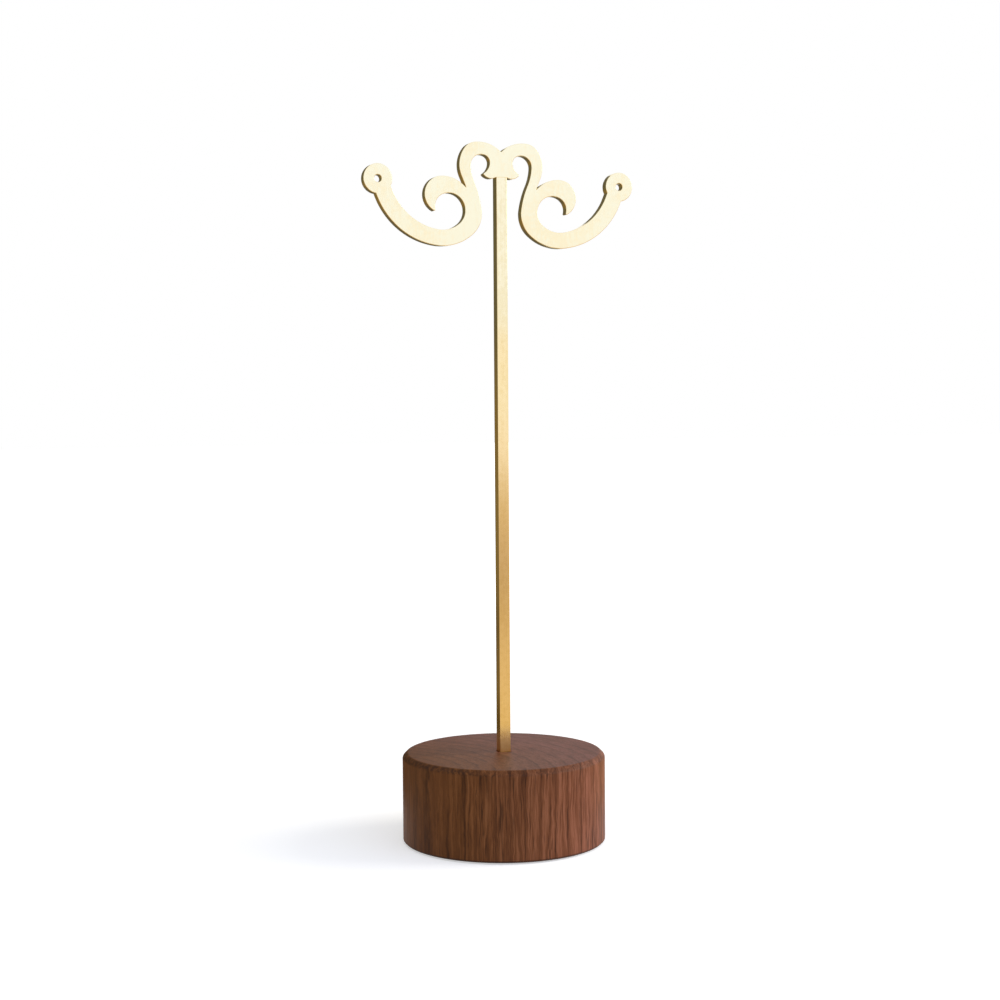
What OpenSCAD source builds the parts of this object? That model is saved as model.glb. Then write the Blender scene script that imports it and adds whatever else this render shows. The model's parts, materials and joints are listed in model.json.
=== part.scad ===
// Earring display stand: a turned walnut disc, a square brass post that stands in a socket of the
// disc, and a flat brass crossbar cut as two mirrored scrolls with a hanging eye at each end.
// Frame: millimetres, +Z up, -Y is the front, origin at the centre of the face it stands on.

/* [Base] */
// Diameter of the turned wooden base
base_d = 55; // [44:1:90]
// Height of the wooden base
base_h = 24; // [20:0.5:40]
// Width and height of the chamfer round the top edge
top_chamfer = 1.2; // [0.4:0.1:3]
// Width and height of the small chamfer round the bottom edge
bottom_chamfer = 0.4; // [0.2:0.1:2]

/* [Pad] */
// Width of bare wood left round the pad
pad_margin = 5.5; // [3:0.5:15]
// Thickness of the felt pad
pad_t = 1.4; // [1:0.1:2]
// How far the pad stands out below the wood
pad_proud = 0.4; // [0.2:0.1:0.8]
// Gap between the pad and the wall of its recess
pad_gap = 0.25; // [0.1:0.05:1]

/* [Post] */
// Side of the square brass bar
post_w = 3; // [2.5:0.1:4]
// Height from the top of the base to the shoulder that carries the crossbar
post_h = 154.6; // [80:0.2:220]
// Depth of the socket in the base
socket_depth = 16; // [8:0.5:17]
// Clearance between the bar and each wall of the socket
socket_gap = 0.25; // [0.1:0.05:0.5]

/* [Tenon] */
// Diameter of the round tenon on the upper end of the post
tenon_d = 1.2; // [0.8:0.1:1.6]
// Length of the tenon
tenon_l = 4; // [2:0.5:5]
// Brazing gap round the tenon and above it
braze_gap = 0.05; // [0.02:0.01:0.1]

/* [Crossbar] */
// Thickness of the brass sheet
plate_t = 2.5; // [2:0.1:4]
// Sideways distance from the middle of the post to the middle of each eye
arm_reach = 34.3; // [28:0.1:45]
// How far the middle of each eye lies below the post's shoulder
eye_drop = 1.4; // [0:0.1:3]
// Diameter of the round eye at the end of each arm
eye_d = 7.8; // [6:0.1:12]
// Diameter of the hole through each eye
eye_hole_d = 2; // [1:0.1:4]

/* [Hidden] */
turned = 180;       // facets of turned wood and felt
drilled = 64;       // facets of small holes, pins and eyes
longest_step = 1;   // longest straight side along a curve of the crossbar
shortest_step = 0.15;
finest_turn = 8;    // degrees between two sides where the steps allow it
through = 1;        // how far a cutter runs past the face it cuts

base_z = pad_proud;                         // underside of the wood
base_top = base_z + base_h;
recess_h = pad_t - pad_proud;               // depth of the pad's recess
pad_d = base_d - 2 * pad_margin;
socket_w = post_w + 2 * socket_gap;
socket_floor = base_top - socket_depth;
shoulder_z = base_top + post_h;             // where the crossbar sits on the post

// The scroll is drawn at a reach of 34.3 and then brought to the size of arm_reach.
scroll_size = arm_reach / 34.3;
notch = [0, 6.7];                           // bottom of the notch between the two loops
crown_heading = 44;                         // direction of the upper edge as it leaves the notch
seat = [post_w / 2, 0] / scroll_size;       // where the crossbar meets the edge of the post
foot_heading = -30;                         // direction of the lower edge as it leaves the post

// Each stretch of edge is [radius, turn in degrees]. A left-hand turn is positive, and a radius
// of 0 is a sharp corner.
upper_edge = [
    [9, -52], [4.3, -46], [7.5, -60], [45, 4],      // over the loop and down to the fork
    [0, 154],                                       // the fork
    [12.5, -13], [8, -36], [4.9, -146],             // over the back of the volute
    [0.3, -133],                                    // tip of the volute
    [3.5, 79], [4.5, 164], [7.5, 49],               // round the hollow
    [16, 59], [26, 14]                              // up the arm, into the eye
];
lower_edge = [
    [2.8, 77],                                      // underside of the spur
    [0.3, 102],                                     // tip of the spur
    [3.4, -53], [2.1, -75], [3, -114],              // up and round the inside of the loop
    [13, -21], [25, 16],                            // down the neck and the waist
    [7.5, 56], [13, 48],                            // round the bottom of the bowl
    [20, 66]                                        // up the arm, into the eye
];

function left_of(heading) = [-sin(heading), cos(heading)];

function point_after(point, heading, radius, turn) =
    point + sign(turn) * radius * (left_of(heading) - left_of(heading + turn));

// Number of sides on an arc: set by its turn, but with no side too short or too long
function sides(radius, turn) =
    let (length = radius * abs(turn) * PI / 180)
    max(ceil(min(abs(turn) / finest_turn, length / shortest_step)), ceil(length / longest_step));

// Points along an edge after its first, walked one stretch after the other
function walk(point, heading, edge, i = 0) =
    i == len(edge) ? [] :
    let (radius = edge[i][0], turn = edge[i][1], n = sides(radius, turn))
    concat(
        radius == 0 ? [] : [for (k = [1 : n]) point_after(point, heading, radius, turn * k / n)],
        walk(point_after(point, heading, radius, turn), heading + turn, edge, i + 1)
    );

function reversed(list) = [for (k = [len(list) - 1 : -1 : 0]) list[k]];
function mirrored(list) = [for (p = list) [-p[0], p[1]]];

crown = walk(notch, crown_heading, upper_edge);
underside = concat([seat], walk(seat, foot_heading, lower_edge));
crossbar_outline = scroll_size * concat(
    underside, reversed(crown), [notch], mirrored(crown), mirrored(reversed(underside))
);

// Stands a drawing up on edge: its origin goes to the middle of the post's shoulder
module cut_from_sheet() {
    translate([0, plate_t / 2, shoulder_z]) rotate([90, 0, 0])
        linear_extrude(height = plate_t) children();
}

// A round bar or drill across the crossbar at an eye: side is 1 for +X and -1 for -X
module across_eye(side, diameter, extra) {
    translate([side * arm_reach, plate_t / 2 + extra, shoulder_z - eye_drop]) rotate([90, 0, 0])
        cylinder(d = diameter, h = plate_t + 2 * extra, $fn = drilled);
}

module base() {
    color([0.43, 0.28, 0.21])
    difference() {
        rotate_extrude($fn = turned) polygon([
            [0, base_z],
            [base_d / 2 - bottom_chamfer, base_z],
            [base_d / 2, base_z + bottom_chamfer],
            [base_d / 2, base_top - top_chamfer],
            [base_d / 2 - top_chamfer, base_top],
            [0, base_top]
        ]);
        translate([-socket_w / 2, -socket_w / 2, socket_floor])
            cube([socket_w, socket_w, socket_depth + through]);
        translate([0, 0, base_z - through])
            cylinder(d = pad_d + 2 * pad_gap, h = recess_h + through, $fn = turned);
    }
}

module base_pad() {
    color([0.12, 0.11, 0.11])
    cylinder(d = pad_d, h = pad_t, $fn = turned);
}

module post() {
    color([0.85, 0.68, 0.36])
    union() {
        translate([-post_w / 2, -post_w / 2, socket_floor])
            cube([post_w, post_w, shoulder_z - socket_floor]);
        translate([0, 0, shoulder_z]) cylinder(d = tenon_d, h = tenon_l, $fn = drilled);
    }
}

module scroll_plate() {
    color([0.94, 0.84, 0.6])
    difference() {
        union() {
            cut_from_sheet() polygon(crossbar_outline);
            for (side = [-1, 1]) across_eye(side, eye_d, 0);
        }
        for (side = [-1, 1]) across_eye(side, eye_hole_d, through);
        translate([0, 0, shoulder_z - through])
            cylinder(d = tenon_d + 2 * braze_gap, h = tenon_l + braze_gap + through, $fn = drilled);
    }
}

base();
base_pad();
post();
scroll_plate();
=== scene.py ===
"""Looks of the earring stand: a turned walnut disc with a felt pad under it, a brushed square brass
post that stands in the disc, and a scrolled brass crossbar with a hanging eye at each end.
Metres, +Z up, -Y is the front."""
import json
import math

import bmesh
import bpy
import numpy as np
from mathutils import Matrix, Vector
from mathutils.geometry import tessellate_polygon


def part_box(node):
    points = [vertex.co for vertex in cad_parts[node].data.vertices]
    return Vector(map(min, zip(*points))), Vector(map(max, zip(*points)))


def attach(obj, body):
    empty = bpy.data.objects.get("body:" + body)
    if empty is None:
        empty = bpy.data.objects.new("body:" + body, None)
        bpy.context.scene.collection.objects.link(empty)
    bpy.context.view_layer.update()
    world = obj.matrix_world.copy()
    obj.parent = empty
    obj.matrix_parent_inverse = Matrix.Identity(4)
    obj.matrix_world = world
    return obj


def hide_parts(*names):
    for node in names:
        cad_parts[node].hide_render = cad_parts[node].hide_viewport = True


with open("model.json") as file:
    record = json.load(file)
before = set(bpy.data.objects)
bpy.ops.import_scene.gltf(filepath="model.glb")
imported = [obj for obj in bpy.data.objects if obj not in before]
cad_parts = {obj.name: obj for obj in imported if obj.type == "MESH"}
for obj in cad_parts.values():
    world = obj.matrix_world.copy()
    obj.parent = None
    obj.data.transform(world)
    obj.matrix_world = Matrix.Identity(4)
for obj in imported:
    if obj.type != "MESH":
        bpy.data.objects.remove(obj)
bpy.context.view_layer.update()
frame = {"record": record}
scene = bpy.context.scene
mm = 0.001

# ---------------------------------------------------------------------------------------------
# Camera: a 65 mm lens half a metre away, a little above the middle of the stand's height and
# 20 degrees round to the left of its front. It looks down by 3 degrees.
CAMERA_DISTANCE = 489.1 * mm
CAMERA_HEIGHT = 120.7 * mm
CAMERA_AZIMUTH = math.radians(-20.42)
CAMERA_PAN = math.radians(0.063)
CAMERA_PITCH = math.radians(-3.27)
CAMERA_ROLL = math.radians(-0.386)
CAMERA_LENS = 65.3                              # millimetres, on a sensor 36 mm wide

camera = bpy.data.objects.new("camera", bpy.data.cameras.new("camera"))
scene.collection.objects.link(camera)
scene.camera = camera
camera.data.lens = CAMERA_LENS
camera.data.sensor_width = 36
camera.data.clip_start = 0.01
camera.data.clip_end = 20
heading = CAMERA_AZIMUTH + CAMERA_PAN
ahead = Vector((
    -math.sin(heading) * math.cos(CAMERA_PITCH),
    math.cos(heading) * math.cos(CAMERA_PITCH),
    math.sin(CAMERA_PITCH),
))
level = Vector((math.cos(heading), math.sin(heading), 0))
upright = level.cross(ahead)
right = level * math.cos(CAMERA_ROLL) + upright * math.sin(CAMERA_ROLL)
up = upright * math.cos(CAMERA_ROLL) - level * math.sin(CAMERA_ROLL)
camera.matrix_world = Matrix.Translation((
    math.sin(CAMERA_AZIMUTH) * CAMERA_DISTANCE,
    -math.cos(CAMERA_AZIMUTH) * CAMERA_DISTANCE,
    CAMERA_HEIGHT,
)) @ Matrix((right, up, -ahead)).transposed().to_4x4()

scene.view_settings.view_transform = "Standard"


# ---------------------------------------------------------------------------------------------
# Studio: a white floor and white surroundings, a softbox ahead and to the right, a warm reflector
# lying low most of the way round, and dark and grey cards behind. Brass mirrors them: the softbox
# makes the crossbar pale, the reflector warms the post, and the rest darkens their left sides.
SURROUND_LIGHT = 0.40                           # how bright the surroundings are as a lamp
FLOOR_REACH = 4.0
FLOOR_SHADE = 0.8
FLOOR_GLOW = 0.50                               # added to the floor round the stand
SHADOW_REACH, WHITE_FROM = 0.15, 0.6            # between them the glow rises until all is white
CARD_STEP = 5                                   # degrees between two edges of a curved card
KEY_PLACE = Vector((0.95, -0.25, 0.5))
KEY_SIZE = 0.6
KEY_POWER = 7
KEY_COLOUR = (1.08, 1.0, 0.84)


def seen_directly(nodes, links):
    """1 for rays from the camera, from glossy surfaces and through clear ones, else 0."""
    path = nodes.new("ShaderNodeLightPath")
    glossy = nodes.new("ShaderNodeMath")
    glossy.operation = "MAXIMUM"
    links.new(path.outputs["Is Camera Ray"], glossy.inputs[0])
    links.new(path.outputs["Is Glossy Ray"], glossy.inputs[1])
    clear = nodes.new("ShaderNodeMath")
    clear.operation = "MAXIMUM"
    links.new(glossy.outputs[0], clear.inputs[0])
    links.new(path.outputs["Is Transmission Ray"], clear.inputs[1])
    return clear.outputs[0]


world = bpy.data.worlds.new("studio")
scene.world = world
world.use_nodes = True
nodes, links = world.node_tree.nodes, world.node_tree.links
brightness = nodes.new("ShaderNodeMapRange")
brightness.inputs["To Min"].default_value = SURROUND_LIGHT
brightness.inputs["To Max"].default_value = 1
links.new(seen_directly(nodes, links), brightness.inputs["Value"])
links.new(brightness.outputs["Result"], nodes["Background"].inputs["Strength"])
nodes["Background"].inputs["Color"].default_value = (1, 1, 1, 1)


def card(name, first, last, profile, only_glossy=True):
    """A curved card round the stand: its profile, rows of (distance, height, colour), is swung
    about the stand's axis from the first azimuth to the last, in degrees to the right of the
    front. It shines with its colour, unseen by the camera, and unless it is a lamp it is seen
    only by glossy rays."""
    distance, height = np.array([row[:2] for row in profile]).T
    azimuth = np.radians(np.linspace(first, last, 2 + abs(last - first) // CARD_STEP))[:, None]
    x, y = np.sin(azimuth) * distance, -np.cos(azimuth) * distance
    points = np.stack([x, y, height + 0 * x], -1)
    here = np.arange(x.size).reshape(x.shape)
    faces = np.stack([here[:-1, :-1], here[1:, :-1], here[1:, 1:], here[:-1, 1:]], -1)
    mesh = bpy.data.meshes.new(name)
    mesh.from_pydata(points.reshape(-1, 3).tolist(), [], faces.reshape(-1, 4).tolist())
    tint = mesh.color_attributes.new("tint", "FLOAT_COLOR", "POINT")
    colours = np.array([(*row[2], 1) for row in profile], np.float32)
    tint.data.foreach_set("color", np.tile(colours, (len(azimuth), 1)).ravel())
    made = bpy.data.objects.new(name, mesh)
    scene.collection.objects.link(made)
    made.visible_camera = made.visible_transmission = made.visible_shadow = False
    made.visible_diffuse = not only_glossy
    material = bpy.data.materials.new(name)
    material.use_nodes = True
    nodes, links = material.node_tree.nodes, material.node_tree.links
    glow = nodes.new("ShaderNodeEmission")
    colour = nodes.new("ShaderNodeAttribute")
    colour.attribute_name = "tint"
    links.new(colour.outputs["Color"], glow.inputs["Color"])
    links.new(glow.outputs[0], nodes["Material Output"].inputs["Surface"])
    mesh.materials.append(material)


floor_mesh = bpy.data.meshes.new("floor")
r = FLOOR_REACH
floor_mesh.from_pydata([(-r, -r, 0), (r, -r, 0), (r, r, 0), (-r, r, 0)], [], [(0, 1, 2, 3)])
floor = bpy.data.objects.new("floor", floor_mesh)
scene.collection.objects.link(floor)
paper = bpy.data.materials.new("white_paper")
paper.use_nodes = True
nodes, links = paper.node_tree.nodes, paper.node_tree.links
nodes["Principled BSDF"].inputs["Base Color"].default_value = (*[FLOOR_SHADE] * 3, 1)
nodes["Principled BSDF"].inputs["Roughness"].default_value = 1
nodes["Principled BSDF"].inputs["Specular IOR Level"].default_value = 0
glow = nodes.new("ShaderNodeEmission")
from_stand = nodes.new("ShaderNodeVectorMath")
from_stand.operation = "LENGTH"
links.new(nodes.new("ShaderNodeTexCoord").outputs["Object"], from_stand.inputs[0])
fade = nodes.new("ShaderNodeMapRange")
fade.inputs["From Min"].default_value = SHADOW_REACH
fade.inputs["From Max"].default_value = WHITE_FROM
fade.inputs["To Min"].default_value = FLOOR_GLOW
fade.inputs["To Max"].default_value = 1
links.new(from_stand.outputs["Value"], fade.inputs["Value"])
lift = nodes.new("ShaderNodeMath")
lift.operation = "MULTIPLY"
links.new(fade.outputs["Result"], lift.inputs[1])
links.new(seen_directly(nodes, links), lift.inputs[0])
links.new(lift.outputs[0], glow.inputs["Strength"])
both = nodes.new("ShaderNodeAddShader")
links.new(nodes["Principled BSDF"].outputs[0], both.inputs[0])
links.new(glow.outputs[0], both.inputs[1])
links.new(both.outputs[0], nodes["Material Output"].inputs["Surface"])
floor.data.materials.append(paper)

# each row: distance from the stand's axis, height, colour
card("softbox", -25, 75, [
    (1.00, 0.174, (1.10, 1.21, 1.50)),
    (0.95, 0.300, (1.10, 1.22, 1.55)),
    (0.70, 1.100, (1.10, 1.22, 1.55)),
], only_glossy=False)
card("reflector", -132, 148, [
    (0.06, 0.001, (0.89, 0.65, 0.33)),
    (0.30, 0.001, (0.84, 0.61, 0.34)),
    (0.52, 0.001, (0.72, 0.52, 0.30)),
    (0.72, 0.001, (0.65, 0.47, 0.29)),
    (0.98, 0.001, (0.70, 0.51, 0.33)),
    (0.98, 0.032, (0.80, 0.61, 0.38)),
    (0.98, 0.078, (1.08, 0.99, 0.92)),
    (0.98, 0.120, (1.10, 1.08, 1.06)),
    (0.98, 0.174, (1.08, 1.02, 0.93)),
])
card("dark_panel", -132, -166, [
    (0.06, 0.001, (0.08, 0.050, 0.013)),
    (0.17, 0.001, (0.10, 0.062, 0.016)),
    (0.25, 0.001, (0.19, 0.130, 0.055)),
    (0.45, 0.001, (0.15, 0.105, 0.045)),
    (0.60, 0.001, (0.20, 0.145, 0.065)),
    (0.70, 0.050, (0.22, 0.160, 0.060)),
    (0.70, 0.110, (0.21, 0.150, 0.055)),
    (0.70, 0.170, (0.138, 0.125, 0.070)),
    (0.70, 0.600, (0.120, 0.115, 0.072)),
])
card("grey_panel", -166, -196, [
    (0.06, 0.001, (0.10, 0.080, 0.045)),
    (0.45, 0.001, (0.13, 0.112, 0.070)),
    (0.70, 0.001, (0.15, 0.130, 0.082)),
    (0.70, 0.600, (0.13, 0.122, 0.080)),
])
card("grey_floor", -190, -214, [
    (0.45, 0.002, (0.15, 0.135, 0.090)),
    (2.80, 0.002, (0.15, 0.135, 0.090)),
])
key_light = bpy.data.lights.new("key", "AREA")
key_light.size = KEY_SIZE
key_light.energy = KEY_POWER
key_light.color = KEY_COLOUR
key = bpy.data.objects.new("key", key_light)
scene.collection.objects.link(key)
towards_stand = (-KEY_PLACE).to_track_quat("-Z", "Y").to_matrix().to_4x4()
key.matrix_world = Matrix.Translation(KEY_PLACE) @ towards_stand


# ---------------------------------------------------------------------------------------------
# Base: a disc turned from a walnut blank with its grain upright, so that the wall shows long
# grain and the top shows end grain. Its edges are sanded soft, and a square socket is cut in it.
def rings(levels, per_corner):
    """Closed loops, one per level of (half width, corner radius, height): a square of that half
    width whose corners are arcs of that radius, and a circle where the two are equal. Each corner
    is an arc about a point that lies one corner radius in from both sides. Returns levels x
    points x 3."""
    turn = (np.arange(per_corner) + 0.5) / per_corner * math.pi / 2
    quarter = np.arange(4)[:, None] * math.pi / 2
    angle = (quarter + turn).ravel()
    corner = (quarter + math.pi / 4 + 0 * turn).ravel()
    half, radius, z = levels.T[:, :, None]
    x = np.sqrt(2) * (half - radius) * np.cos(corner) + radius * np.cos(angle)
    y = np.sqrt(2) * (half - radius) * np.sin(corner) + radius * np.sin(angle)
    return np.stack([x, y, z + 0 * x], axis=-1)


def softened(profile, radii, steps=6):
    """The profile, rows of numbers that start with a width and end with a height, with each
    inner row replaced by a short arc: a quadratic curve from a point one radius before the
    corner to a point one radius after it, with the corner as its middle control point."""
    profile = np.asarray(profile, float)
    t = np.linspace(0, 1, steps)[:, None]
    out = [profile[:1]]
    for before, corner, after, radius in zip(profile, profile[1:], profile[2:], radii):
        if radius == 0:
            out.append(corner[None])
            continue
        back, on = before - corner, after - corner
        start = corner + back * min(0.5, radius / np.hypot(back[0], back[-1]))
        end = corner + on * min(0.5, radius / np.hypot(on[0], on[-1]))
        out.append((1 - t) ** 2 * start + 2 * t * (1 - t) * corner + t ** 2 * end)
    out.append(profile[-1:])
    return np.concatenate(out)


def closed_skin(name, loops):
    """A closed mesh through a stack of loops: four-sided faces between neighbouring loops, and
    a fan on the middle point of the first and of the last loop."""
    levels, count, _ = loops.shape
    here = np.arange(count)
    beside = (here + 1) % count
    level = np.arange(levels - 1)[:, None] * count
    above = level + count
    wall = np.stack([level + here, level + beside, above + beside, above + here], -1)
    first, last = levels * count, levels * count + 1
    top = (levels - 1) * count
    fans = np.concatenate([
        np.stack([beside, here, 0 * here + first], -1),
        np.stack([top + here, top + beside, 0 * here + last], -1),
    ])
    points = np.concatenate([loops.reshape(-1, 3), loops[:1].mean(1), loops[-1:].mean(1)])
    mesh = bpy.data.meshes.new(name)
    mesh.from_pydata(points.tolist(), [], wall.reshape(-1, 4).tolist() + fans.tolist())
    mesh.shade_smooth()
    mesh.set_sharp_from_angle(angle=math.radians(30))
    made = bpy.data.objects.new(name, mesh)
    scene.collection.objects.link(made)
    return made


def keep_flats_flat(made):
    """Lets the largest face at each point set its shading, so that a flat stays flat right up to
    its eased edge."""
    shading = made.modifiers.new("flat faces", "WEIGHTED_NORMAL")
    shading.weight = 90
    shading.keep_sharp = True


def turned_or_square(name, levels, per_corner):
    """A solid piece whose levels are circles or squares, with its flats kept flat."""
    made = closed_skin(name, rings(levels, per_corner))
    keep_flats_flat(made)
    return made


base_low, base_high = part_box("base")
pad_low, pad_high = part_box("base_pad")
post_low, post_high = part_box("post")
base_radius = base_high.x
post_half = post_high.x
TOP_CHAMFER = 1.2 * mm
BOTTOM_CHAMFER = 0.4 * mm
SOCKET_GAP = 0.25 * mm
SOCKET_CORNER = 0.2 * mm
PAD_GAP = 0.25 * mm
socket_half = post_half + SOCKET_GAP
recess_radius = pad_high.x + PAD_GAP
TINY = 0.01 * mm

# half width, corner radius, height: from the middle of the recess outwards, up and into the socket
outline = [
    (TINY, TINY, pad_high.z),
    (recess_radius, recess_radius, pad_high.z),
    (recess_radius, recess_radius, base_low.z),
    (base_radius - BOTTOM_CHAMFER, base_radius - BOTTOM_CHAMFER, base_low.z),
    (base_radius, base_radius, base_low.z + BOTTOM_CHAMFER),
    (base_radius, base_radius, base_high.z - TOP_CHAMFER),
    (base_radius - TOP_CHAMFER, base_radius - TOP_CHAMFER, base_high.z),
    (socket_half, SOCKET_CORNER, base_high.z),
    (socket_half, SOCKET_CORNER, post_low.z),
    (TINY, TINY, post_low.z),
]
softness = [0, 0.1 * mm, 0.1 * mm, 0.15 * mm, 0.4 * mm, 0.4 * mm, 0.08 * mm, 0]
base = turned_or_square("walnut_base", softened(outline, softness), per_corner=64)
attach(base, "base")
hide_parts("base")


class Surface:
    """A new material with its nodes, and short ways to add and join them."""

    def __init__(self, name):
        self.material = bpy.data.materials.new(name)
        self.material.use_nodes = True
        self.nodes = self.material.node_tree.nodes
        self.links = self.material.node_tree.links
        self.shader = self.nodes["Principled BSDF"]
        self.place = self.nodes.new("ShaderNodeTexCoord").outputs["Object"]

    def put(self, socket, value):
        """Joins value to the socket if it is an output, and sets it there if it is a number."""
        if isinstance(value, bpy.types.NodeSocket):
            self.links.new(value, socket)
        else:
            socket.default_value = value

    def node(self, kind, settings=None, **inputs):
        """A node of that kind. Inputs are named with _ for a space."""
        made = self.nodes.new("ShaderNode" + kind)
        for key, value in (settings or {}).items():
            setattr(made, key, value)
        for key, value in inputs.items():
            self.put(made.inputs[key.replace("_", " ")], value)
        return made

    def math(self, operation, a, b=0.0, c=0.0):
        made = self.node("Math", {"operation": operation})
        for socket, value in zip(made.inputs, (a, b, c)):
            self.put(socket, value)
        return made.outputs[0]

    def stretched(self, scale):
        """Object coordinates times the three numbers in scale, in features per metre."""
        made = self.node("Mapping", Vector=self.place)
        made.inputs["Scale"].default_value = scale
        return made.outputs[0]

    def noise(self, vector, detail=2.0, roughness=0.5):
        made = self.node("TexNoise", Vector=vector, Scale=1.0, Detail=detail, Roughness=roughness)
        return made.outputs["Fac"]

    def ramp(self, value, stops):
        """Value through a colour ramp: stops are (place, grey or colour)."""
        made = self.node("ValToRGB", Fac=value)
        elements = made.color_ramp.elements
        elements.remove(elements[-1])
        elements[0].position = stops[0][0]
        for where, _ in stops[1:]:
            elements.new(where)
        for element, (_, colour) in zip(elements, stops):
            element.color = (*([colour] * 3 if np.isscalar(colour) else colour), 1)
        return made.outputs["Color"]

    def mix(self, share, a, b, blend="MIX"):
        made = self.node("Mix", {"data_type": "RGBA", "blend_type": blend})
        self.put(made.inputs["Factor"], share)
        for name, value in (("A", a), ("B", b)):
            socket = [s for s in made.inputs if s.name == name and s.type == "RGBA"][0]
            self.put(socket, value if isinstance(value, bpy.types.NodeSocket) else (*value, 1))
        return [s for s in made.outputs if s.type == "RGBA"][0]

    def bump(self, height, depth, strength=1.0):
        made = self.node("Bump", Height=height, Distance=depth, Strength=strength)
        self.put(self.shader.inputs["Normal"], made.outputs[0])


# Growth rings run about the tree's heart, which lay left of the disc. Each streak is noise in
# the wood's own directions, in millimetres: out from the heart, round it, and along the grain.
# So the wall shows fine straight streaks where it cuts across the rings and broad soft ones
# where it runs along them, and the top shows arcs.
TREE_HEART = (-46.5, -13.3)                     # millimetres from the disc's axis
HEART_DISTANCE = 48.4                           # where widths round the heart are true
FIRST_RING = 21.4                               # its distance from the heart
RING_WIDTH = 3.9
RING_SWAY = 1.6                                 # how far the rings wander in and out
RING_RIPPLE = 0.85                              # and how far they ripple
DARK_HEARTWOOD = (0.050, 0.0165, 0.006)
BROWN_HEARTWOOD = (0.152, 0.054, 0.019)
ROSY_HEARTWOOD = (0.25, 0.100, 0.044)
PORE_BROWN = (0.026, 0.010, 0.004)
# brown of the torn top edge, also used as painted shade on the bottom edge
TORN_EDGE_AND_SHADE_BROWN = (0.046, 0.017, 0.007)
# from the heart side on the left to the bark side on the right the wood turns lighter, pinker and
# bluer: partly the wood's own change, partly painted light and sheen from the lit right side
HEART_AND_SHADED_SIDE_HUE, BARK_AND_LIT_SIDE_HUE = (1.04, 1.0, 0.70), (1.12, 1.0, 1.24)
END_GRAIN_HUE = (0.74, 0.75, 0.93)
PORE_COVER = 0.6                                # share of the colour that the pores take
TORN_EDGE_AND_SHADE_COVER = 0.78                                # and that the torn top edge and the painted shade on the bottom edge take
PLAIN_TONE = 0.57                               # 0 is dark and 1 is rosy heartwood
LATE_WOOD_TONE = -0.42                          # and what each part of the figure adds to it
# partly painted light: lightens the lit right side
BARK_AND_LIT_SIDE_TONE = 0.17
STREAK_TONE = 2.6
FIBRE_TONE = 0.7
FIGURE_TONE = 0.4
WOOD_ROUGHNESS = 0.42
WOOD_GLOSS = 0.12
PORE_DEPTH = 0.03 * mm

walnut = Surface("oiled_walnut")
base.data.materials.append(walnut.material)
from_heart = walnut.node("Mapping", Vector=walnut.place)
from_heart.inputs["Location"].default_value = (-TREE_HEART[0], -TREE_HEART[1], 0)
from_heart.inputs["Scale"].default_value = (1 / mm, 1 / mm, 1 / mm)
along = walnut.node("SeparateXYZ", Vector=from_heart.outputs[0]).outputs
round_heart = walnut.math("ARCTAN2", along["Y"], along["X"])
round_heart = walnut.math("MULTIPLY", round_heart, HEART_DISTANCE)
squared = walnut.math("MULTIPLY_ADD", along["X"], along["X"], walnut.math("POWER", along["Y"], 2))
outward = walnut.math("SQRT", squared)


def grain(out, around, up, start=0.0, detail=2.0, roughness=0.5):
    """Noise with that many features per millimetre outward, round the heart and up."""
    place = walnut.node("CombineXYZ", X=outward, Y=round_heart, Z=along["Z"]).outputs[0]
    moved = walnut.node("Mapping", Vector=place)
    moved.inputs["Location"].default_value = (start, start, start)
    moved.inputs["Scale"].default_value = (out, around, up)
    return walnut.noise(moved.outputs[0], detail=detail, roughness=roughness)


def centred(noise):
    """The same noise, about 0."""
    return walnut.math("SUBTRACT", noise, 0.5)


sway = walnut.math("MULTIPLY", centred(grain(0.09, 0.07, 0.035, start=3)), RING_SWAY)
ripple = centred(grain(0.35, 0.3, 0.22, start=7, detail=1))
ripple = walnut.math("MULTIPLY", ripple, RING_RIPPLE)
outward = walnut.math("ADD", walnut.math("ADD", outward, sway), ripple)
towards_bark = walnut.ramp(walnut.math("MULTIPLY", outward, 0.01), [(0.28, 0.0), (0.62, 1.0)])

ring = walnut.math("MULTIPLY_ADD", outward, 1 / RING_WIDTH, -FIRST_RING / RING_WIDTH)
late_wood = walnut.ramp(
    walnut.math("FRACT", ring),
    [(0.0, 0.75), (0.07, 0.0), (0.5, 0.08), (0.82, 0.3), (0.93, 0.85), (0.98, 1.0)],
)
boldness = walnut.ramp(grain(0.3, 0.12, 0.05, start=11), [(0.35, 0.3), (0.6, 1.0)])
late_wood = walnut.math("MULTIPLY", late_wood, boldness)
streaks = grain(1.6, 0.45, 0.06, start=17, detail=4, roughness=0.72)
tall = base_high.z - base_low.z
height = walnut.math("MULTIPLY_ADD", along["Z"], mm / tall, -base_low.z / tall)
end_grain = walnut.ramp(height, [(0.996, 0.0), (0.999, 1.0)])
openness = walnut.ramp(walnut.math("MULTIPLY", outward, 0.01), [(0.25, 0.45), (0.33, 1.0)])
openness = walnut.math("MULTIPLY", openness, walnut.math("MULTIPLY_ADD", end_grain, -0.4, 1.0))
streaks = walnut.math("MULTIPLY", centred(streaks), openness)
fibres = grain(6.0, 2.4, 0.10, start=23, detail=2, roughness=0.6)
pores = grain(2.6, 2.4, 0.11, start=29, detail=1, roughness=0.4)
pores = walnut.ramp(pores, [(0.30, 1.0), (0.38, 0.0)])
pores = walnut.math("MULTIPLY", pores, openness)
figure = grain(0.12, 0.1, 0.05, start=37, detail=2)

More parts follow.
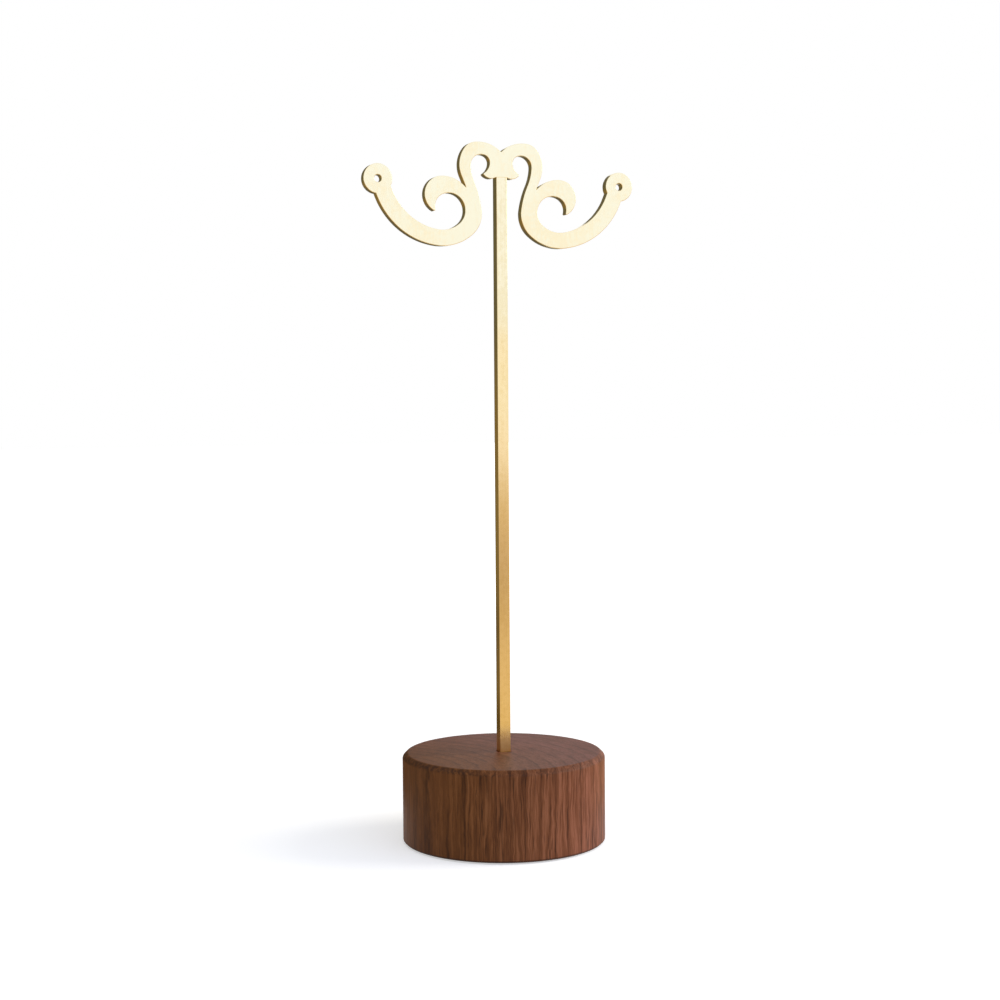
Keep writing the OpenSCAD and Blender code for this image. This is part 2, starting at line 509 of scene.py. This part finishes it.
tone = walnut.math("MULTIPLY_ADD", late_wood, LATE_WOOD_TONE, PLAIN_TONE)
# partly painted light: lighter towards the bark side, which is the lit right side
tone = walnut.math("MULTIPLY_ADD", towards_bark, BARK_AND_LIT_SIDE_TONE, tone)
tone = walnut.math("MULTIPLY_ADD", streaks, STREAK_TONE, tone)
tone = walnut.math("MULTIPLY_ADD", centred(fibres), FIBRE_TONE, tone)
tone = walnut.math("MULTIPLY_ADD", centred(figure), FIGURE_TONE, tone)
brown = walnut.ramp(tone, [(0.0, DARK_HEARTWOOD), (0.55, BROWN_HEARTWOOD), (1.0, ROSY_HEARTWOOD)])
# partly painted light and sheen: pinker and bluer towards the lit right side
heart_to_bark_and_light_hue = walnut.mix(towards_bark, HEART_AND_SHADED_SIDE_HUE, BARK_AND_LIT_SIDE_HUE)
brown = walnut.mix(1.0, brown, heart_to_bark_and_light_hue, "MULTIPLY")
wood = walnut.mix(walnut.math("MULTIPLY", pores, PORE_COVER), brown, PORE_BROWN)

# The top chamfer cuts across the fibres, so it drinks more oil and comes out darker, and where
# the rings run along it its grain is torn into dark notches. The bottom chamfer is darkened all
# round with the same brown, as painted shade along the edge that meets the floor.
from_axis = walnut.node("VectorMath", {"operation": "LENGTH"}, Vector=walnut.stretched((1, 1, 0)))
reach = walnut.math("MULTIPLY", from_axis.outputs["Value"], 1 / base_radius)
on_rim = walnut.ramp(reach, [(0.952, 0.0), (0.958, 1.0)])
upper_edge = walnut.math("MULTIPLY", on_rim, walnut.ramp(height, [(0.93, 0.0), (0.955, 1.0)]))
# painted shade: the bottom chamfer darkened all round, where the base meets the floor
bottom_edge_shade = walnut.ramp(height, [(0.018, 1.0), (0.030, 0.0)])
torn = walnut.ramp(grain(1.1, 0.5, 0.8, start=41, detail=2), [(0.43, 1.0), (0.60, 0.15)])
tearing = walnut.ramp(towards_bark, [(0.0, 1.0), (0.2, 0.36), (0.6, 0.5)])
torn = walnut.math("MULTIPLY", torn, tearing)
torn_and_shaded = walnut.math("MAXIMUM", walnut.math("MULTIPLY", upper_edge, torn), bottom_edge_shade)
wood = walnut.mix(walnut.math("MULTIPLY", torn_and_shaded, TORN_EDGE_AND_SHADE_COVER), wood, TORN_EDGE_AND_SHADE_BROWN)
deeper = walnut.math("MULTIPLY", end_grain, walnut.math("MULTIPLY_ADD", towards_bark, 0.5, 0.5))
wood = walnut.mix(deeper, wood, END_GRAIN_HUE, "MULTIPLY")
walnut.put(walnut.shader.inputs["Base Color"], wood)
walnut.shader.inputs["Specular IOR Level"].default_value = WOOD_GLOSS
dryness = walnut.math("MULTIPLY_ADD", fibres, 0.2, WOOD_ROUGHNESS)
walnut.put(walnut.shader.inputs["Roughness"], dryness)
relief = walnut.math("MULTIPLY_ADD", pores, -0.8, fibres)
walnut.bump(relief, PORE_DEPTH, strength=0.4)


# ---------------------------------------------------------------------------------------------
# Pad: a felt disc glued into the recess under the base. It stands 0.4 mm below the wood, so the
# stand rests on felt.
levels = softened(
    [
        (TINY, TINY, pad_low.z),
        (pad_high.x, pad_high.x, pad_low.z),
        (pad_high.x, pad_high.x, pad_high.z),
        (TINY, TINY, pad_high.z),
    ],
    [0.3 * mm, 0.1 * mm],
)
pad = turned_or_square("felt_pad", levels, per_corner=48)
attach(pad, "base")
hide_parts("base_pad")

felt = Surface("pressed_felt")
pad.data.materials.append(felt.material)
matted = felt.noise(felt.stretched((1500, 1500, 1500)), detail=4, roughness=0.7)
lint = felt.noise(felt.stretched((350, 350, 350)), detail=2)
charcoal = felt.ramp(matted, [(0.35, (0.010, 0.009, 0.009)), (0.7, (0.045, 0.042, 0.042))])
charcoal = felt.mix(felt.ramp(lint, [(0.5, 0.0), (0.75, 0.3)]), charcoal, (0.07, 0.066, 0.064))
felt.put(felt.shader.inputs["Base Color"], charcoal)
felt.shader.inputs["Roughness"].default_value = 0.95
felt.shader.inputs["Sheen Weight"].default_value = 0.3
felt.bump(matted, 0.15 * mm)


# ---------------------------------------------------------------------------------------------
# Post: 3 mm square brass bar, brushed along its length, with a round tenon turned on its upper
# end for the crossbar.
TENON_HALF = 0.6 * mm
TENON_LENGTH = 4 * mm
BAR_EDGE = 0.15 * mm
SCUFFED = 9 * mm                                # dulled by going in and out of the socket
# painted shade and painted reflection of the wood, multiplied into the post's foot
FOOT_SHADE_TINT = (0.90, 0.64, 0.36)
POST_BRASS, POST_SHADE = (0.90, 0.755, 0.455), (0.84, 0.68, 0.37)
shoulder = post_high.z - TENON_LENGTH
levels = softened(
    [
        (TINY, TINY, post_low.z),
        (post_half, BAR_EDGE, post_low.z),
        (post_half, BAR_EDGE, shoulder),
        (TENON_HALF, TENON_HALF, shoulder),
        (TENON_HALF, TENON_HALF, post_high.z),
        (TINY, TINY, post_high.z),
    ],
    [0.15 * mm, 0.04 * mm, 0, 0.1 * mm],
)
post = turned_or_square("brushed_post", levels, per_corner=24)
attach(post, "stem")
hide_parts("post")


def brass(name, colour, deeper, roughness, lines, depth):
    """Brass rubbed with abrasive: lines are the scratches per metre along X, Y and Z, so they
    run along the axis with the fewest, and their relief has that depth. Handling and specks
    shift the colour towards the deeper one, and scratches spread the gloss."""
    made = Surface(name)
    made.shader.inputs["Metallic"].default_value = 1
    scratches = made.noise(made.stretched(lines), detail=3, roughness=0.7)
    handling = made.noise(made.stretched((90, 90, 45)), detail=2)
    specks = made.noise(made.stretched((900, 900, 900)), detail=2)
    shade = made.math("MULTIPLY_ADD", made.math("SUBTRACT", scratches, 0.5), 0.9, handling)
    shade = made.math("MULTIPLY_ADD", made.math("SUBTRACT", specks, 0.5), 0.7, shade)
    made.put(made.shader.inputs["Base Color"], made.ramp(shade, [(0.3, deeper), (0.62, colour)]))
    spread = made.math("MULTIPLY_ADD", scratches, 0.5 * roughness, 0.75 * roughness)
    made.put(made.shader.inputs["Roughness"], spread)
    made.bump(scratches, depth)
    return made


brushed = brass(
    "brushed_brass", POST_BRASS, POST_SHADE,
    roughness=0.085, lines=(5000, 5000, 60), depth=0.004 * mm,
)
# from the top of the base, 0, up to the end of the scuffed foot, 1
above_base = brushed.node("SeparateXYZ", Vector=brushed.place).outputs["Z"]
above_base = brushed.math("MULTIPLY_ADD", above_base, 1 / SCUFFED, -base_high.z / SCUFFED)
gloss = brushed.shader.inputs["Roughness"].links[0].from_socket
scuffs = brushed.ramp(above_base, [(0.0, 0.22), (0.55, 0.18), (1.0, 0.0)])
brushed.put(brushed.shader.inputs["Roughness"], brushed.math("ADD", gloss, scuffs))
# painted shade and painted reflection of the wood: the foot darker and more orange down to the base
painted_foot_shade = brushed.ramp(above_base, [(0.0, 1.0), (0.12, 0.7), (0.5, 0.3), (0.7, 0.0)])
clean = brushed.shader.inputs["Base Color"].links[0].from_socket
brushed.put(brushed.shader.inputs["Base Color"], brushed.mix(painted_foot_shade, clean, FOOT_SHADE_TINT, "MULTIPLY"))
post.data.materials.append(brushed.material)


# ---------------------------------------------------------------------------------------------
# Crossbar: brass sheet cut as two mirrored scrolls with a round eye at the end of each arm, its
# edges eased by hand, brazed to the post's tenon.
plate_low, plate_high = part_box("scroll_plate")
SCROLL_UNIT = 34.3                              # reach at which the edges below are drawn
NOTCH = (0.0, 6.7)                              # bottom of the notch between the two loops
CROWN_HEADING = 44                              # direction of the upper edge at the notch
FOOT_HEADING = -30                              # direction of the lower edge at the post
UPPER_EDGE = [                                  # (radius, turn in degrees), left is positive
    (9, -52), (4.3, -46), (7.5, -60), (45, 4),  # over the loop and down to the fork
    (0, 154),                                   # the fork
    (12.5, -13), (8, -36), (4.9, -146),         # over the back of the volute
    (0.3, -133),                                # tip of the volute
    (3.5, 79), (4.5, 164), (7.5, 49),           # round the hollow
    (16, 59), (26, 14),                         # up the arm, into the eye
]
LOWER_EDGE = [
    (2.8, 77),                                  # underside of the spur
    (0.3, 102),                                 # tip of the spur
    (3.4, -53), (2.1, -75), (3, -114),          # up and round the inside of the loop
    (13, -21), (25, 16),                        # down the neck and the waist
    (7.5, 56), (13, 48),                        # round the bottom of the bowl
    (20, 66),                                   # up the arm, into the eye
]
EDGE_EASE = 0.12 * mm
FINEST = math.radians(4)                        # turn between two samples along an edge
LONGEST = 0.25                                  # and the distance between them, in drawing units
EDGE_STRIP = 0.04 * mm                          # flat strip beside the eased edge
EYE_RADIUS = 3.9 * mm
EYE_SAMPLES = 80                                # along the eye's rim, and round its hole
HOLE_SAMPLES = 64
CROSSBAR_BRASS, CROSSBAR_SHADE = (0.892, 0.775, 0.485), (0.90, 0.735, 0.42)

right_eye = next(m for m in frame["record"]["mounts"] if m["name"] == "eye_right")
eye = np.array(right_eye["pos_m"])[[0, 2]] - (0, shoulder)
eye_hole_radius = right_eye["dims"]["r_mm"] * mm
unit = eye[0] / SCROLL_UNIT


def edge(start, direction, stretches):
    """Samples along an edge made of arcs that run on from one another: each arc turns about a
    point one radius to the left of the heading, or to the right of it for a right-hand turn. An
    arc of no radius is a corner: its samples share a place while the heading swings round.
    Returns places and headings."""
    place, direction = np.array(start, float), math.radians(direction)
    places, headings = [place[None]], [np.array([direction])]
    for radius, turn in stretches:
        turn = math.radians(turn)
        count = int(np.ceil(max(abs(turn) / FINEST, radius * abs(turn) / LONGEST)))
        heading = direction + turn * np.arange(1, count + 1) / count
        left = np.stack([-np.sin(heading), np.cos(heading)], -1)
        first_left = np.array([-math.sin(direction), math.cos(direction)])
        places.append(place + math.copysign(radius, turn) * (first_left - left))
        headings.append(heading)
        place, direction = places[-1][-1], direction + turn
    return np.concatenate(places), np.concatenate(headings)


def up_to_eye(places, outward):
    """The samples before the edge enters the eye's circle, and the point where it does."""
    apart = np.hypot(*(places - eye).T) - EYE_RADIUS
    inside = np.argmax(apart < 0)
    share = apart[inside - 1] / (apart[inside - 1] - apart[inside])
    crossing = places[inside - 1] + share * (places[inside] - places[inside - 1])
    return np.vstack([places[:inside], crossing]), outward[:inside + 1]


def with_swings(stretches):
    """Joins stretches of (places, outward angles) into one, and lets the outward angle swing
    round in small steps at each inner corner where two stretches meet."""
    places, outward = [], []
    for (p, a), (next_p, next_a) in zip(stretches, stretches[1:] + stretches[:1]):
        places.append(p)
        outward.append(a)
        jump = (next_a[0] - a[-1] + math.pi) % (2 * math.pi) - math.pi
        if np.allclose(p[-1], next_p[0], atol=TINY):
            swing = a[-1] + jump * np.linspace(0, 1, 2 + int(abs(jump) / FINEST))[1:-1]
            places.append(np.repeat(p[-1:], len(swing), 0))
            outward.append(swing)
    return np.concatenate(places), np.concatenate(outward)


# the right half anticlockwise: underside, round the eye, and back over the crown to the notch
seat = np.array([post_half / unit, 0])
below, below_heading = edge(seat, FOOT_HEADING, LOWER_EDGE)
below, below_out = up_to_eye(below * unit, below_heading - math.pi / 2)
above, above_heading = edge(NOTCH, CROWN_HEADING, UPPER_EDGE)
above, above_out = up_to_eye(above * unit, above_heading + math.pi / 2)
enter = math.atan2(*(below[-1] - eye)[::-1])
leave = math.atan2(*(above[-1] - eye)[::-1])
round_eye = np.linspace(enter, leave + (2 * math.pi if leave < enter else 0), EYE_SAMPLES)
eye_rim = eye + EYE_RADIUS * np.stack([np.cos(round_eye), np.sin(round_eye)], -1)
half = [(below, below_out), (eye_rim, round_eye), (above[::-1], above_out[::-1])]
mirror = [(p[::-1] * (-1, 1), math.pi - a[::-1]) for p, a in half[::-1]]
rim, rim_out = with_swings(half + mirror)
hole_turn = np.linspace(0, -2 * math.pi, HOLE_SAMPLES, endpoint=False)
hole = eye_hole_radius * np.stack([np.cos(hole_turn), np.sin(hole_turn)], -1)

# across the edge: a narrow flat strip, a quarter round, the wall, a quarter round, a flat strip
thickness = plate_high.y - plate_low.y
ease = np.linspace(0, math.pi / 2, 5)
inset = EDGE_EASE * (1 - np.sin(ease))
depth = EDGE_EASE * (1 - np.cos(ease))
inset = np.concatenate([[EDGE_EASE + EDGE_STRIP], inset, [0]])
depth = np.concatenate([[0], depth, [EDGE_EASE + EDGE_STRIP]])
inset = np.concatenate([inset, inset[::-1]])
depth = np.concatenate([depth, thickness - depth[::-1]])


def eased_edge(places, outward):
    """The skin of a cut edge: each sample moved inwards by the inset, and back through the sheet
    by the depth. Returns samples x rows x 3."""
    x = places[:, :1] - np.cos(outward)[:, None] * inset
    z = places[:, 1:] - np.sin(outward)[:, None] * inset + shoulder
    return np.stack([x, plate_low.y + depth + 0 * x, z], -1)


def sheet_skin(name, cuts):
    """A closed mesh of sheet metal: the skins of its cut edges, outline first and then holes,
    each joined into four-sided faces, and its two flats, filled between the first rows of all
    the skins and between their last rows."""
    points, faces, start = np.concatenate([c.reshape(-1, 3) for c in cuts]), [], 0
    flats = ([], [])
    for cut in cuts:
        samples, rows, _ = cut.shape
        here = start + np.arange(samples)[:, None] * rows + np.arange(rows)
        beside = np.roll(here, -1, axis=0)
        quads = np.stack([here[:, :-1], here[:, 1:], beside[:, 1:], beside[:, :-1]], -1)
        faces += quads.reshape(-1, 4).tolist()
        flats[0].append(here[:, 0])
        flats[1].append(here[:, -1])
        start += samples * rows
    for loops in flats:
        border = np.concatenate(loops)
        filled = tessellate_polygon([points[loop][:, [0, 2, 1]] * (1, 1, 0) for loop in loops])
        faces += border[np.array(filled)].tolist()
    mesh = bpy.data.meshes.new(name)
    mesh.from_pydata(points.tolist(), [], faces)
    merged = bmesh.new()
    merged.from_mesh(mesh)
    bmesh.ops.remove_doubles(merged, verts=merged.verts, dist=0.001 * mm)
    bmesh.ops.recalc_face_normals(merged, faces=merged.faces)
    merged.to_mesh(mesh)
    merged.free()
    mesh.shade_smooth()
    mesh.set_sharp_from_angle(angle=math.radians(28))
    return mesh


plate_mesh = sheet_skin("scroll_crossbar", [
    eased_edge(rim, rim_out),
    eased_edge(hole + eye, hole_turn + math.pi),
    eased_edge(hole + eye * (-1, 1), hole_turn + math.pi),
])
plate = bpy.data.objects.new("scroll_crossbar", plate_mesh)
scene.collection.objects.link(plate)
keep_flats_flat(plate)
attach(plate, "stem")
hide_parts("scroll_plate")

satin = brass(
    "satin_brass", CROSSBAR_BRASS, CROSSBAR_SHADE,
    roughness=0.15, lines=(5000, 5000, 120), depth=0.003 * mm,
)
plate.data.materials.append(satin.material)
